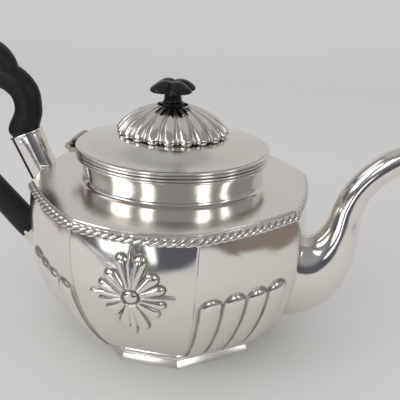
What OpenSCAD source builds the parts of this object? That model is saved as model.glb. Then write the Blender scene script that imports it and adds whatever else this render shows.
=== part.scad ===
// Octagonal teapot with a hinged lid, blackwood handle and finial.
// Frame: origin on the table under the middle of the foot, +Z up, +X towards the spout.

/* [Body] */
// height of the flat shoulder above the table
shoulder_z = 101.6; // [90:0.2:115]
// shoulder length between the two end panels
body_len = 150; // [130:1:165]
// shoulder width between the two broad panels
body_wid = 142; // [120:1:150]
// extra half size of the belly over the shoulder
belly_out = 3.2; // [1:0.1:6]
// height of the widest part of the belly
belly_z = 72; // [60:1:80]
// width of the front and back panels at the shoulder
front_panel = 66; // [54:1:72]
// width of the end panels at the shoulder
end_panel = 57; // [46:1:60]
// sheet thickness of the raised body
wall_t = 1.4; // [1:0.1:2]
// thickness of the flat shoulder plate
shoulder_t = 1.2; // [1:0.1:2]
// how much the broad panels bow out, as a share of their width
bow_front = 0.10; // [0:0.01:0.14]
// how much the other panels bow out
bow_side = 0.04; // [0:0.01:0.08]

/* [Foot] */
// height of the foot
foot_h = 9.5; // [7:0.5:13]
// length of the foot on the table
foot_len = 108; // [90:1:120]
// width of the foot on the table
foot_wid = 94; // [80:1:110]
// thickness of the foot moulding
foot_t = 2.4; // [2:0.1:4]
// thickness of the base plate
base_t = 1.6; // [1.2:0.1:2.5]

/* [Rope border] */
// radius of the rope moulding
rope_r = 2.9; // [2:0.1:3.5]
// drop of the rope's middle below the shoulder
rope_drop = 4.3; // [3.5:0.1:6]

/* [Repousse] */
// height of the petals above the panel
petal_rise = 2; // [1:0.1:3]
// half width of the rosette
rosette_x = 21; // [16:1:24]
// half height of the rosette
rosette_h = 27; // [20:1:28]
// height of the middle of the rosette
rosette_z = 67.5; // [60:0.5:70]
// height of the tops of the flutes
flute_top = 62; // [50:1:68]
// height of the flutes above the diagonal panels
flute_rise = 2.2; // [1:0.1:3]
// number of flutes on each diagonal panel
flute_n = 4; // [3:1:5]

/* [Collar and lid] */
// half length of the lid
lid_p = 56; // [50:0.5:60]
// half width of the lid
lid_q = 49; // [42:0.5:52]
// height of the joint between collar and lid above the shoulder
collar_h = 16.4; // [12:0.2:20]
// height of each reeded rim
rim_h = 3.2; // [2.4:0.2:4]
// gap between collar rim and lid rim
lid_gap = 0.3; // [0.2:0.05:0.5]
// thickness of the lid plate
lid_t = 1.2; // [1:0.1:2]
// rise of the lid plate from its rim to the dome
lid_rise = 6.2; // [2:0.5:7]
// how far the locating flange drops into the collar
flange_drop = 4; // [3:0.5:6]
// gap between locating flange and collar
flange_gap = 0.5; // [0.4:0.1:1]

/* [Dome and finial] */
// half length of the fluted dome
dome_p = 32.6; // [28:0.5:36]
// half width of the fluted dome
dome_q = 26.6; // [20:0.5:30]
// height of the fluted dome
dome_h = 17.8; // [14:0.5:24]
// number of lobes on the dome
lobe_n = 20; // [12:1:24]
// radius of the finial's cap
cap_r = 13.5; // [10:0.5:16]
// radius of the finial's stem
stem_r = 4; // [3:0.1:5]
// height of the finial over the dome
finial_h = 14.5; // [12:0.5:18]
// diameter of the stud that holds the finial
stud_d = 3; // [2.5:0.1:4]

/* [Hinge] */
// diameter of the hinge pin
pin_d = 2; // [1.6:0.1:2.4]
// radial play of the pin
pin_play = 0.04; // [0.02:0.01:0.08]
// radius of the knuckles
knuckle_r = 2.1; // [1.8:0.1:2.6]
// length of one knuckle
knuckle_l = 5; // [4:0.5:7]
// gap between neighbouring knuckles
knuckle_gap = 0.3; // [0.2:0.05:0.5]
// distance of the hinge axis beyond the rims
hinge_out = 2.6; // [2.5:0.1:4]

/* [Spout] */
// half height of the spout at its root
spout_root = 29; // [24:0.5:30]
// half height of the spout at its mouth
spout_mouth = 6.2; // [5:0.2:7]
// sheet thickness of the spout
spout_t = 1.4; // [1:0.1:2]
// how far the mouth stands from the middle of the pot
spout_reach = 146; // [138:1:150]
// diameter of the strainer holes
strain_d = 3.2; // [2:0.2:4]

/* [Handle] */
// thickness of the handle across the hand
grip_t = 15; // [12:0.5:18]
// how far the handle reaches from the middle of the pot
handle_reach = 146.5; // [138:0.5:150]
// wall of the silver sockets
socket_t = 1.2; // [1:0.1:2]
// diameter of the socket pins
socket_pin_d = 2.4; // [2:0.1:3]

/* [Hidden] */
eps = 0.01;
A1 = body_len/2;
D1 = body_wid/2;
C1 = front_panel/2;
B1 = end_panel/2;
foot_c = 17;
foot_b = 19.5;
body_z0 = foot_h - 1;
wall_top = shoulder_z - shoulder_t;
seg = 6;
pq = lid_p/lid_q;
hinge_x = -lid_p - hinge_out;
joint_z = shoulder_z + collar_h;
hinge_z = joint_z;
pin_r = pin_d/2;
hinge_w = 5*knuckle_l + 4*knuckle_gap;
plate_z = joint_z + lid_gap + rim_h;
dome_z = plate_z + lid_rise;
finial_z = dome_z + dome_h - 1.1;
flange_r = 6.5;
socket_a = 22.4;
// what the spout and the handle follow: the shoulder's height, their reach past the body, their thickness
up = shoulder_z/101.6;
spout_k = (spout_reach - A1)/71;
handle_k = (handle_reach - A1)/71.5;
mouth_k = spout_mouth/6.2;
root_k = spout_root/29;
grip_k = grip_t/15;

// ---------- plans and lofts ----------
function clamp01(t) = min(1, max(0, t));
function side(p, q, s, n) = [for (i = [0:n - 1]) let (t = i/n, e = q - p)
    p + e*t + [e[1], -e[0]]*(s*4*t*(1 - t))];
// bowed octagon: half length a, half end panel b, half front panel c, half width d
function plan(a, b, c, d, k = 1, n = seg) =
    let (v = [[-a, -b], [-c, -d], [c, -d], [a, -b], [a, b], [c, d], [-c, d], [-a, b]],
         f = k*bow_front, s = k*bow_side, w = [s, f, s, s, s, f, s, s])
    [for (i = [0:7]) each side(v[i], v[(i + 1)%8], w[i], n)];
function at_z(p, z) = [for (q = p) [q[0], q[1], z]];
module loft(rings) {
    n = len(rings[0]);
    m = len(rings);
    polyhedron(points = [for (r = rings) each r], faces = concat(
        [[for (i = [0:n - 1]) i]],
        [[for (i = [n - 1:-1:0]) (m - 1)*n + i]],
        [for (j = [0:m - 2]) for (i = [0:n - 1]) let (a = j*n + i, b = j*n + (i + 1)%n)
            each [[a, a + n, b + n], [a, b + n, b]]]), convexity = 8);
}

// ---------- body profile ----------
function below(z, n) = let (t = clamp01((z - body_z0)/(belly_z - body_z0)))
    pow(1 - pow(1 - t, n), 1/n);
function above(z) = pow(clamp01((z - belly_z)/(shoulder_z - belly_z)), 2);
function half_len(z) = z < belly_z ? foot_len/2 - 4 + (A1 + belly_out - foot_len/2 + 4)*below(z, 2)
    : A1 + belly_out*(1 - above(z));
function half_wid(z) = z < belly_z ? foot_wid/2 - 2.5 + (D1 + belly_out - foot_wid/2 + 2.5)*below(z, 1.5)
    : D1 + belly_out*(1 - above(z));
function spread(z) = 1 - pow(1 - clamp01((z - body_z0)/(shoulder_z - body_z0)), 3);
function half_front(z) = foot_c + 1 + (C1 - foot_c - 1)*spread(z);
function half_end(z) = foot_b - 1 + (B1 - foot_b + 1)*spread(z);
function bow_at(z) = clamp01(1.1*spread(z));
function body_plan(z, o, n) = plan(half_len(z) - o, half_end(z) - 0.41*o, half_front(z) - 0.41*o,
    half_wid(z) - o, bow_at(z), n);
// the body's solid, set in by o, z0 below and z1 above, with n steps a panel and levels i0 to i1 of m
module body_solid(o = 0, z0 = 0, z1 = 0, n = seg, m = 12, i0 = 0, i1 = 99)
    loft(concat(z0 < 0 ? [at_z(body_plan(body_z0, o, n), body_z0 + z0)] : [],
        [for (i = [i0:min(m, i1)]) let (z = body_z0 + (wall_top - body_z0)*pow(i/m, 1.25))
            at_z(body_plan(z, o, n), z)],
        z1 > 0 ? [at_z(body_plan(wall_top, o, n), wall_top + z1)] : []));

// front panel surface at height z, with its outward lean
function front_y(x, z) = let (c = half_front(z), t = clamp01((x + c)/(2*c)))
    -half_wid(z) - bow_at(z)*bow_front*2*c*4*t*(1 - t);
// point on a diagonal panel: u 0..1 from the front corner, height z
function diag_pt(u, z) = let (p = [half_front(z), -half_wid(z)], q = [half_len(z), -half_end(z)],
    e = q - p, w = p + e*u + [e[1], -e[0]]*(bow_at(z)*bow_side*4*u*(1 - u))) [w[0], w[1], z];
function front_pt(x, z) = [x, front_y(x, z), z];

// ---------- repousse ----------
module bead(p, r, f = 8) translate(p) sphere(r = r, $fn = f);
function petal_at(i, k) = let (a = i*22.5, f = k*(i%4 == 0 ? 1 : 0.83))
    front_pt(f*rosette_x*cos(a), rosette_z + f*rosette_h*sin(a));
module petal(i) {
    w = i%4 == 0 ? 0.95*petal_rise : 1.25*petal_rise;
    hull() {
        bead(petal_at(i, 0.36), 0.5*w);
        bead(petal_at(i, 0.74), w);
        bead(petal_at(i, 0.92), i%4 == 0 ? 0.5*w : 0.95*w);
    }
}
module rosette() {
    for (i = [0:15]) petal(i);
    translate([0, 3, 0]) bead(front_pt(0, rosette_z), petal_rise + 4.2, 16);
}
// centre of a ball sunk under diagonal panel point (u, z) so that it rises flute_rise
function unit(v) = v/norm(v);
function sunk(u, z, r) = diag_pt(u, z) + (r - flute_rise)*unit(cross(diag_pt(u, z + 1) - diag_pt(u, z - 1),
    diag_pt(u + 0.02, z) - diag_pt(u - 0.02, z)));
flute_w = 24.5/flute_n;
flute_zs = [flute_top - flute_w, 0.62*flute_top, 0.4*flute_top, body_z0 + 5];
module flute(i) {
    u = (i + 0.68)/(flute_n + 0.55);
    for (j = [0:2]) hull() for (k = [j, j + 1]) let (w = flute_w*(1 - 0.09*k),
        r = (w*w + flute_rise*flute_rise)/(2*flute_rise)) bead(sunk(u, flute_zs[k], r), r, 14);
}

module body_shell() color("silver") difference() {
    union() {
        body_solid();
        for (m = [0, 1]) mirror([0, m, 0]) {
            rosette();
            for (n = [0, 1]) mirror([n, 0, 0]) for (i = [0:flute_n - 1]) flute(i);
        }
    }
    body_solid(wall_t, -1, 1, 4, 9);
    for (k = [-2:2]) for (j = [-2:2]) if (abs(k) + abs(j) < 4)
        translate([half_len(47*up) - 8, k*5.2, 47*up + j*6 + (abs(k)%2)*3]) rotate([0, 90, 0])
            cylinder(d = strain_d, h = 22, $fn = 8);
}

module base_plate() color("silver") translate([0, 0, body_z0 - 0.6]) linear_extrude(base_t)
    polygon(plan(foot_len/2 - 4 - wall_t, foot_b - 1.6, foot_c + 0.4, foot_wid/2 - 2.5 - wall_t, 0, 1));

function foot_plan(o, z) = at_z(plan(foot_len/2 - o, foot_b - 0.41*o, foot_c - 0.41*o,
    foot_wid/2 - o, 0, 1), z);
module foot_ring() color("silver") difference() {
    loft([foot_plan(0, 0), foot_plan(0.2, 1.2), foot_plan(1.2, 5), foot_plan(2.8, 5.6),
          foot_plan(4.4, 7), foot_plan(4.9, foot_h - 0.8), foot_plan(3.9, foot_h)]);
    loft([foot_plan(foot_t, -1), foot_plan(foot_t, 1.2), foot_plan(foot_t + 1, 5),
          foot_plan(foot_t + 4.2, 7.4), foot_plan(foot_t + 4.2, body_z0 - 0.6)]);
    body_solid(0, -0.6, i1 = 2);
}

module shoulder_plate() color("silver") difference() {
    translate([0, 0, wall_top]) linear_extrude(shoulder_t)
        polygon(plan(A1, B1, C1, D1, 1, seg));
    scale([pq, 1, 1]) translate([0, 0, wall_top - 1]) cylinder(r = lid_q - 4.6, h = shoulder_t + 2, $fn = 96);
}

module rope_solid() loft([for (i = [0:6]) let (a = -90 + i*30, k = 0.41*rope_r*cos(a)) at_z(
    plan(A1 + rope_r*cos(a) - 0.5, B1 + k, C1 + k, D1 + rope_r*cos(a) - 0.5, 1),
    shoulder_z - rope_drop + rope_r*sin(a))]);
module rope_border() color("silver") difference() {
    rope_solid();
    body_solid(0, 0, 1, i0 = 10);
}

// ---------- collar and lid: turned in the width, stretched to the length ----------
module oval(pts, n = 180) scale([pq, 1, 1]) rotate_extrude($fn = n) polygon(pts);

module collar() color("silver") let (z = shoulder_z, top = joint_z - rim_h - lid_gap/2, h = top - z) oval([
    [lid_q - 4.4, z], [lid_q - 1.2, z], [lid_q - 2, z + 0.6], [lid_q - 3, z + 1.5], [lid_q - 3.2, z + 0.25*h],
    [lid_q - 2.9, z + 0.5*h], [lid_q - 2.5, z + 0.75*h], [lid_q - 2.2, top], [lid_q - 4.6, top],
    [lid_q - 3.9, z + 0.75*h], [lid_q - 4.2, z + 0.5*h], [lid_q - 4.5, z + 0.25*h], [lid_q - 4.8, z + 1.5]]);

// rim with two reeds, from z up: inner edge at r0, outer crests at lid_q
function reed_arc(z) = [for (i = [0:1]) for (a = [-75:30:75])
    [lid_q - rim_h/4*(1 - cos(a)) , z + rim_h*(0.25 + 0.5*i) + rim_h/4*sin(a)]];
module reeded(r0, z) oval(concat([[r0, z], [lid_q - rim_h/4, z]], reed_arc(z),
    [[lid_q - rim_h/4, z + rim_h], [r0, z + rim_h]]));

module collar_rim() color("silver") difference() {
    reeded(lid_q - 5.4, joint_z - rim_h - lid_gap/2);
    hinge_relief();
}

module lid_rim() color("silver") difference() {
    reeded(lid_q - 2.6, joint_z + lid_gap/2);
    hinge_relief();
}
// room for the knuckles beside the rims
module hinge_relief() translate([hinge_x, 0, hinge_z]) rotate([90, 0, 0])
    cylinder(r = knuckle_r + 0.35, h = hinge_w + 1, center = true, $fn = 48);

// convex plate: oval rings from the underside's middle, round the rim and up to the middle again
module lid_plate() color("silver") difference() {
    loft([for (p = [[4, dome_z - lid_t], [dome_q, dome_z - lid_t], [lid_q - 10, plate_z + 1.9 - lid_t],
            [lid_q - 4.4, plate_z - lid_gap/2 + 0.02], [lid_q - 1.9, plate_z - lid_gap/2 + 0.02],
            [lid_q - 1.5, plate_z], [lid_q - 2.6, plate_z + 0.4], [lid_q - 10, plate_z + 1.9],
            [dome_q + 1, dome_z], [4, dome_z]])
        [for (i = [0:71]) [pq*p[0]*cos(5*i), p[0]*sin(5*i), p[1]]]]);
    cylinder(d = stud_d + 0.6, h = 300, $fn = 32);
    translate([0, -dome_q - 7, 0]) cylinder(d = 1.8, h = 300, $fn = 24);
}

module lid_flange() color("silver") oval([
    [lid_q - 5.4 - flange_gap - 1.2, joint_z - flange_drop],
    [lid_q - 5.4 - flange_gap - 0.3, joint_z - flange_drop],
    [lid_q - 5.4 - flange_gap, joint_z - flange_drop + 0.8], [lid_q - 5.4 - flange_gap, joint_z + lid_gap/2],
    [lid_q - 2.6, joint_z + lid_gap/2], [lid_q - 2.6, joint_z + lid_gap/2 + 1.2],
    [lid_q - 5.4 - flange_gap - 1.2, joint_z + lid_gap/2 + 1.2]]);

// melon dome: wide lobes with a narrow one between each two, hollow below, flat on top for the finial;
// a lobe's columns are its crest, the crease, the narrow lobe's crest and the next crease
lobe_at = [0, 1/3, 1/2, 2/3];
lobe_up = [1, 0, 0.6, 0];
columns = [for (i = [0:lobe_n - 1]) for (c = [0:3]) [(i + 0.5 + lobe_at[c])*360/lobe_n, lobe_up[c]]];
function oval_ring(kx, ky, z) = [for (c = columns) [kx*cos(c[0]), ky*sin(c[0]), z]];
module lid_dome() color("silver") difference() {
    loft(concat([oval_ring(4, 4, dome_z + (dome_h - 2.4)*sin(65))],
        [for (t = [0.72, 0.45, 0]) let (k = cos(90*t))
            oval_ring((dome_p*0.9 - 1.4)*k, (dome_q*0.9 - 1.4)*k, dome_z + (dome_h - 2.4)*sin(90*t))],
        [for (j = [0:7]) let (t = 1 - pow(1 - j/7, 1.2), h = t*(finial_z - dome_z)/dome_h,
                r = max(0.25, pow(1 - pow(h, 1.75), 1/1.75)), g = j == 7 ? 0 : 0.085*(1 - 0.35*t))
            [for (c = columns) let (k = r*(1 - g + g*c[1]))
                [dome_p*k*cos(c[0]), dome_q*k*sin(c[0]), dome_z + h*dome_h]]],
        [oval_ring(4, 4, finial_z)]));
    cylinder(d = stud_d + 0.2, h = finial_z + 10, $fn = 32);
}

// ---------- finial ----------
module finial() color([0.06, 0.06, 0.06]) difference() {
    union() {
        translate([0, 0, finial_z]) rotate_extrude($fn = 48) polygon([[0, 0], [flange_r - 0.3, 0], [flange_r, 0.7],
            [flange_r - 0.7, 1.6], [stem_r + 0.9, 2.8], [stem_r + 0.3, 4.6],
            [stem_r, 7], [stem_r + 0.5, finial_h - 6], [0, finial_h - 6]]);
        for (i = [0:3]) rotate([0, 0, 45 + 90*i]) hull() {
            translate([4, 0, finial_z + finial_h - 3.9]) scale([1, 1, 0.52]) sphere(r = 6, $fn = 14);
            translate([cap_r - 4.6, 0, finial_z + finial_h - 4.7]) scale([1, 1.25, 0.42]) sphere(r = 4.6, $fn = 14);
        }
    }
    translate([0, 0, finial_z - 1]) cylinder(d = stud_d, h = 8, $fn = 32);
}
module finial_stud() color("silver") translate([0, 0, dome_z - 4.6])
    cylinder(d = stud_d, h = finial_z + 7 - dome_z + 4.6, $fn = 32);
module finial_washer() color("silver") translate([0, 0, dome_z - lid_t - 0.8]) difference() {
    cylinder(r = 5, h = 0.8, $fn = 32);
    translate([0, 0, -1]) cylinder(d = stud_d + 0.1, h = 3, $fn = 32);
}
module finial_nut() color("silver") translate([0, 0, dome_z - lid_t - 0.8 - 2.4]) difference() {
    cylinder(r = 3.4, h = 2.4, $fn = 6);
    translate([0, 0, -1]) cylinder(d = stud_d + 0.02, h = 5, $fn = 32);
}

// ---------- hinge ----------
module knuckles(list) for (i = list)
    translate([hinge_x, (i - 2)*(knuckle_l + knuckle_gap), hinge_z]) rotate([90, 0, 0])
        cylinder(r = knuckle_r, h = knuckle_l, center = true, $fn = 48);
module leaf_bars(list, z0, z1) for (i = list)
    translate([hinge_x, (i - 2)*(knuckle_l + knuckle_gap) - knuckle_l/2, z0])
        cube([hinge_out + 2.2, knuckle_l, z1 - z0]);
module pin_bore() translate([hinge_x, 0, hinge_z]) rotate([90, 0, 0])
    cylinder(r = pin_r + pin_play, h = hinge_w + 10, center = true, $fn = 48);
module hinge_body_leaf() color("silver") difference() {
    union() {
        knuckles([0, 2, 4]);
        leaf_bars([0, 2, 4], joint_z - rim_h, joint_z - 0.6);
        translate([hinge_x + 0.4, -hinge_w/2, joint_z - rim_h - 0.2]) cube([hinge_out + 1.8, hinge_w, 1]);
    }
    collar_rim_solid();
    pin_bore();
}
module collar_rim_solid() scale([pq, 1, 1]) translate([0, 0, joint_z - rim_h - 2])
    cylinder(r = lid_q, h = rim_h + 2, $fn = 180);
module lid_rim_solid() scale([pq, 1, 1]) translate([0, 0, joint_z])
    cylinder(r = lid_q, h = rim_h + 2, $fn = 180);
module hinge_lid_leaf() color("silver") difference() {
    union() {
        knuckles([1, 3]);
        leaf_bars([1, 3], joint_z + 0.6, joint_z + rim_h);
        translate([hinge_x + 0.4, -1.5*(knuckle_l + knuckle_gap), joint_z + rim_h - 0.6])
            cube([hinge_out + 1.8, 3*(knuckle_l + knuckle_gap), 0.8]);
    }
    lid_rim_solid();
    pin_bore();
}
module hinge_pin() color("silver") translate([hinge_x, 0, hinge_z]) rotate([90, 0, 0]) {
    cylinder(r = pin_r, h = hinge_w, center = true, $fn = 48);
    for (s = [-1, 1]) translate([0, 0, s*(hinge_w/2 + 0.35)])
        cylinder(r = knuckle_r - 0.4, h = 0.7, center = true, $fn = 48);
}

// ---------- swept parts: stations [x, z, heading, half height, half width] ----------
function mix(a, b, t) = a + (b - a)*t;
function spline(s, u) = let (n = len(s) - 1, i = min(n - 1, floor(u)), t = u - i,
    p0 = s[max(0, i - 1)], p1 = s[i], p2 = s[i + 1], p3 = s[min(n, i + 2)])
    0.5*(2*p1 + (p2 - p0)*t + (2*p0 - 5*p1 + 4*p2 - p3)*t*t + (3*p1 - p0 - 3*p2 + p3)*t*t*t);
function ring(v, o, n, e = 0) = [for (i = [0:n - 1]) let (a = 360*i/n, h = max(0.5, v[3] - o),
    w = max(0.5, v[4] - o), s = h*cos(a), y = w*sin(a))
    [v[0] - s*sin(v[2]) + e*cos(v[2]), -y, v[1] + s*cos(v[2]) + e*sin(v[2])]];
module sweep(s, o, steps, n, e0 = 0, e1 = 0, j0 = 0, j1 = 999) loft([for (j = [j0:min(steps, j1)])
    ring(spline(s, j*(len(s) - 1)/steps), o, n, j == 0 ? -e0 : j == steps ? e1 : 0)]);

// stations given by how far they stand past the body's end, side 1 for the spout and -1 for the handle
function past_end(st, side, k) = [for (v = st) [side*(A1 + v[0]*k), v[1]*up, v[2], v[3], v[4]]];
spout_st = past_end([[-15, 47, 0, 29.5*root_k, 17*root_k], [0, 49.5, 8, spout_root, 15.8*root_k],
    [12.5, 53.5, 24, 22.5*root_k, 13.8*root_k], [20.3, 62.2, 42, 16.2*mouth_k, 11.8*mouth_k],
    [25.3, 77, 60, 11*mouth_k, 9.8*mouth_k], [28, 94.5, 68, 8.5*mouth_k, 8.2*mouth_k],
    [34, 108.3, 60, 7.7*mouth_k, 7.4*mouth_k], [46, 121, 38, 7.4*mouth_k, 6.9*mouth_k],
    [59, 128, 20, 6.8*mouth_k, 6.4*mouth_k], [71, 131, 12, spout_mouth, spout_mouth - 0.2]], 1, spout_k);
module spout() color("silver") difference() {
    sweep(spout_st, 0, 24, 20);
    sweep(spout_st, spout_t, 18, 16, 2, 2);
    body_solid(i1 = 11);
}

gh = grip_t/2;
handle_st = past_end([[13.1, 110.4, 112, 7.8*grip_k, gh - 1.4], [16.2, 118, 110, 8.5*grip_k, gh - 0.8],
    [17.4, 123.3, 102, 10.2*grip_k, gh], [13.7, 134, 92, 8.3*grip_k, gh - 0.4],
    [16, 145.5, 115, 8.8*grip_k, gh - 0.3], [26.5, 153.2, 160, 8.5*grip_k, gh], [41, 152.2, 196, 8*grip_k, gh + 0.4], [56, 143, 228, 7.8*grip_k, gh + 0.6],
    [63.7, 128, 257, 7.8*grip_k, gh + 0.6], [63, 111.5, 280, 7.9*grip_k, gh + 0.5],
    [55.6, 96.4, 305, 8*grip_k, gh + 0.2], [44, 83, 312, 8.2*grip_k, gh], [30, 68, 313, 8.6*grip_k, gh],
    [19.4, 56.8, 313, 8.7*grip_k, gh], [14.2, 51.4, 314, 7.2*grip_k, gh - 1.4]], -1, handle_k);
thumb_st = past_end([[24, 152, 100, 7*grip_k, gh - 1], [26.5, 161, 118, 6.5*grip_k, gh - 0.5],
    [32.5, 167, 150, 6.2*grip_k, gh], [40.5, 167.5, 192, 5.4*grip_k, gh - 1], [46, 164, 225, 3.2*grip_k, gh - 3.5]],
    -1, handle_k);
module handle_bar(j0 = 0, j1 = 999) sweep(handle_st, 0, 42, 14, j0 = j0, j1 = j1);
module handle() color([0.06, 0.06, 0.06]) difference() {
    union() {
        handle_bar();
        sweep(thumb_st, 0, 12, 14);
    }
    pin_hole(upper_pin_at);
    pin_hole(lower_pin_at);
}

// tapered eight-sided socket from (x, z), leaning ang towards the handle
module tube8(x, z, ang, r0, r1, h) translate([x, 0, z]) rotate([0, -ang, 0])
    scale([1, 0.8, 1]) rotate([0, 0, 22.5]) cylinder(r1 = r0, r2 = r1, h = h, $fn = 8);
module pin_hole(p) translate([p[0], 0, p[1]]) rotate([90, 0, 0])
    cylinder(d = socket_pin_d, h = 40, center = true, $fn = 32);
upper_pin_at = [-A1 - 16.2*handle_k, 115.4*up];
lower_pin_at = [-A1 - 18.3*handle_k, 55.7*up];
module upper_socket() color("silver") difference() {
    tube8(-A1 - 2.6*handle_k, 84.9*up, socket_a, 9.2*grip_k, 8.6*grip_k + 2*socket_t, 37.4*up);
    handle_bar(0, 12);
    body_solid(0, 0, shoulder_t, i0 = 8);
    rope_solid();
    pin_hole(upper_pin_at);
}
module lower_socket() color("silver") difference() {
    tube8(-A1 + 3*handle_k, 35*up, 43, 8.8*grip_k, 8.4*grip_k + 2*socket_t, 29*up);
    handle_bar(34);
    body_solid(i0 = 1, i1 = 8);
    pin_hole(lower_pin_at);
}
module socket_pin(p, l) color("silver") translate([p[0], 0, p[1]]) rotate([90, 0, 0])
    cylinder(d = socket_pin_d, h = l, center = true, $fn = 32);
module upper_pin() socket_pin(upper_pin_at, 17.4*grip_k);
module lower_pin() socket_pin(lower_pin_at, 17.2*grip_k);

body_shell();
base_plate();
foot_ring();
shoulder_plate();
rope_border();
collar();
collar_rim();
lid_plate();
lid_rim();
lid_flange();
lid_dome();
finial();
finial_stud();
finial_washer();
finial_nut();
hinge_body_leaf();
hinge_lid_leaf();
hinge_pin();
spout();
handle();
upper_socket();
lower_socket();
upper_pin();
lower_pin();
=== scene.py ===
# %% [markdown]
# # An octagonal silver teapot
# The real pot is raised and chased from silver-plated sheet, with a turned
# collar and lid, a cast foot, a soldered spout and an ebonised wooden handle.
# The solid model is loaded first as a fixed frame: it holds the true sizes, the
# joint and the bodies. Everything made here sits in that frame, in metres, and
# takes the place of the solid piece that it dresses.

# %% Load the frame
import bpy
import bmesh
import math
from math import cos, sin, pi, radians, sqrt
from mathutils import Matrix, Vector, noise


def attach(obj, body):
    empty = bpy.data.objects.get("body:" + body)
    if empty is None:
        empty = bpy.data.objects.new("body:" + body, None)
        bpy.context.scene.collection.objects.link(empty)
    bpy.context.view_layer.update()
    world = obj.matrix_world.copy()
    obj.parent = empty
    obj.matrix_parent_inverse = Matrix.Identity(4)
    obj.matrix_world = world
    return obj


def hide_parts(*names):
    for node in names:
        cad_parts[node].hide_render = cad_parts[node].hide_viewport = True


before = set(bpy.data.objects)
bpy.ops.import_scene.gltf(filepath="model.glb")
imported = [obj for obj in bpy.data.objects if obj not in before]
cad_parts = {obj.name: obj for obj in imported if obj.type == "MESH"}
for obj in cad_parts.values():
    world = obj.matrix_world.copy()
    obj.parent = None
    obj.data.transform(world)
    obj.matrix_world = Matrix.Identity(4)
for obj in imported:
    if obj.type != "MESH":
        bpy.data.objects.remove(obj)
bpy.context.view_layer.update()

# %% [markdown]
# ## The camera
# A polished pot is judged by its reflections, so the camera is set before any
# light. It looks a little down on the lid from the spout's side, and it is close
# enough that the back of the handle and the spout's mouth leave the picture. A
# track-to constraint could aim it, but a matrix made of its three directions
# also holds the small roll.

# %% Camera
def place_camera(azimuth, elevation, roll, distance, target, focal):
    """Aim a camera at target; angles in degrees, distance in metres, focal length in mm."""
    a, e, r = radians(azimuth), radians(elevation), radians(roll)
    back = Vector((sin(a)*cos(e), -cos(a)*cos(e), sin(e)))
    right = Vector((0, 0, 1)).cross(back).normalized()
    up = back.cross(right)
    right, up = right*cos(r) + up*sin(r), up*cos(r) - right*sin(r)
    cam = bpy.data.objects.new("camera", bpy.data.cameras.new("camera"))
    bpy.context.scene.collection.objects.link(cam)
    turn = Matrix((right, up, back)).transposed().to_4x4()
    cam.matrix_world = Matrix.Translation(Vector(target) + back*distance) @ turn
    cam.data.lens = focal
    cam.data.sensor_width = 36
    cam.data.clip_start = 0.01
    bpy.context.scene.camera = cam
    return cam

camera = place_camera(azimuth=12.11, elevation=23.2, roll=1.74, distance=0.3617,
                      target=(0.01704, 0.00092, 0.08762), focal=54.9)
print("camera at", [round(v, 3) for v in camera.location])

# %% [markdown]
# ## Sizes shared by the pieces
# These are the measurements of the pot that the solid model was drawn from, in
# metres. The body's plan is an octagon with bowed sides, and its half length and
# half width change with the height like two quarter ellipses of different
# fullness. Formulas serve better than a scaled box here, because every later
# piece can ask for the body's outline at its own height.

# %% Sizes and the body's plan
mm = 0.001
shoulder_z, shoulder_t = 101.6*mm, 1.2*mm
half_len0, half_wid0, half_front0, half_end0 = 75*mm, 71*mm, 33*mm, 28.5*mm
belly_out, belly_z = 3.2*mm, 72*mm
foot_len, foot_wid, foot_front, foot_end = 108*mm, 94*mm, 17*mm, 19.5*mm
body_z0, wall_top, wall_t = 8.5*mm, 100.4*mm, 1.4*mm
bow_front, bow_side = 0.10, 0.04
waist_in, waist_high = 3.5*mm, 8*mm
mitre = 0.41  # how much half of a side shortens when an octagon is drawn in by 1

def clamp(t):
    return min(1.0, max(0.0, t))

def rise_below(z, n):
    t = clamp((z - body_z0)/(belly_z - body_z0))
    return (1 - (1 - t)**n)**(1/n)

def swell(z, base, top, n):
    if z < belly_z:
        return base + (top + belly_out - base)*rise_below(z, n)
    return top + belly_out*(1 - clamp((z - belly_z)/(shoulder_z - belly_z))**2)

def waist(z):
    """How much the bowl draws in where it meets the foot."""
    return waist_in*(1 - clamp((z - body_z0)/waist_high))**1.5

def half_len(z):
    return swell(z, foot_len/2 - 4*mm, half_len0, 2) - waist(z)

def half_wid(z):
    return swell(z, foot_wid/2 - 2.5*mm, half_wid0, 1.5) - waist(z)

def spread(z):
    return 1 - (1 - clamp((z - body_z0)/(shoulder_z - body_z0)))**3

def half_front(z):
    return foot_front + 1*mm + (half_front0 - foot_front - 1*mm)*spread(z) - mitre*waist(z)

def half_end(z):
    return foot_end - 1*mm + (half_end0 - foot_end + 1*mm)*spread(z) - mitre*waist(z)

def bowed(p, q, t, s):
    """A point t of the way from p to q, on a side that bows out by s of its length."""
    e = q - p
    return p + e*t + Vector((e.y, -e.x))*(s*4*t*(1 - t))

def octagon(a, b, c, d):
    """Corners for a half length a, half end side b, half front side c and half width d."""
    return [(-a, -b), (-c, -d), (c, -d), (a, -b), (a, b), (c, d), (-c, d), (-a, b)]

def plan_side(k, t, a, b, c, d, bow=1.0):
    """Side k of the octagon: 0 left front, 1 front, 2 right front, 3 spout end, then the back."""
    v = octagon(a, b, c, d)
    s = bow*(bow_front if k in (1, 5) else bow_side)
    return bowed(Vector(v[k]), Vector(v[(k + 1) % 8]), t, s)

def body_side(k, t, z):
    p = plan_side(k, t, half_len(z), half_end(z), half_front(z), half_wid(z),
                  clamp(1.1*spread(z)))
    return Vector((p.x, p.y, z))

print("belly %.1f by %.1f mm" % (2000*half_len(belly_z), 2000*half_wid(belly_z)))

# %% [markdown]
# ## Helpers that make sheet, turned and swept forms
# Three ways of working cover the whole pot. A sheet starts as a flat grid and
# every vertex is carried to its place on the surface, as a chaser works sheet
# metal over pitch. A turned piece is a profile spun about the pot's axis and
# stretched to an oval. A swept tube is a grid rolled up along a path. Each
# vertex also remembers how hollow its place is, for the tarnish and the painted
# shade in the hollows to follow.

# %% Helpers
spin_steps = 256

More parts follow.
